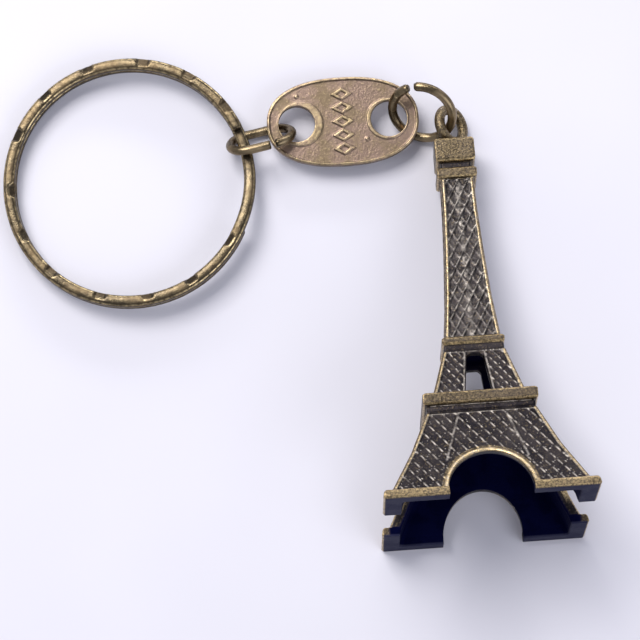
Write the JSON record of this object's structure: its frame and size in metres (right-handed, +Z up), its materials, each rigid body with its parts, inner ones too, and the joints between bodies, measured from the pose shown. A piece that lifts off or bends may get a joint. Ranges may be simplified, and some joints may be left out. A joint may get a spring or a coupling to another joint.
{
  "type": "keychain",
  "caption": "Souvenir keychain: a hammered split key ring, a wire link, an oval cast tag and a jump ring carrying a hollow cast lattice tower, all in antique bronze.",
  "frame": {"origin": "middle of the bottom of the whole keychain as it lies on a flat surface, with the tower on its back", "axes": "+X from the key ring to the tower, +Y from the tower's feet towards its loop, +Z up"},
  "size_m": [0.0686, 0.0586, 0.0235],
  "materials": {
    "ring_bronze": "antique bronze plate on hammered steel wire, worn to pale gold on the high edges",
    "wire_bronze": "antique bronze plate on drawn wire, satin",
    "tag_bronze": "antique bronze plate on a cast plate, pinkish brown field with pale gold rims",
    "tower_bronze": "dark antique bronze plate on a zinc casting, gold on the raised edges"
  },
  "bodies": {
    "key_ring": {"key_ring": "ring_bronze"},
    "oval_link": {"oval_link": "wire_bronze"},
    "tag": {"tag": "tag_bronze"},
    "jump_ring": {"jump_ring": "wire_bronze"},
    "tower": {"tower": "tower_bronze"}
  },
  "joints": [
    {"name": "link_on_ring", "type": "hinge", "parent": "key_ring", "child": "oval_link", "pos_m": [-0.00582, 0.01909, 0.00225], "axis": [-0.3334, 0.9426, -0.0192], "range_deg": [-60, 60]},
    {"name": "tag_on_link", "type": "hinge", "parent": "oval_link", "child": "tag", "pos_m": [-0.00173, 0.02125, 0.00208], "axis": [-0.0645, 0.9979, 0], "range_deg": [-18, 60]},
    {"name": "jump_ring_on_tag", "type": "hinge", "parent": "tag", "child": "jump_ring", "pos_m": [0.01316, 0.02221, 0.00238], "axis": [-0.0645, 0.9979, 0], "range_deg": [-18, 60]},
    {"name": "tower_on_jump_ring", "type": "hinge", "parent": "jump_ring", "child": "tower", "pos_m": [0.01855, 0.02082, 0.00275], "axis": [0.4419, 0.4983, 0.7459], "range_deg": [-45, 60]}
  ]
}
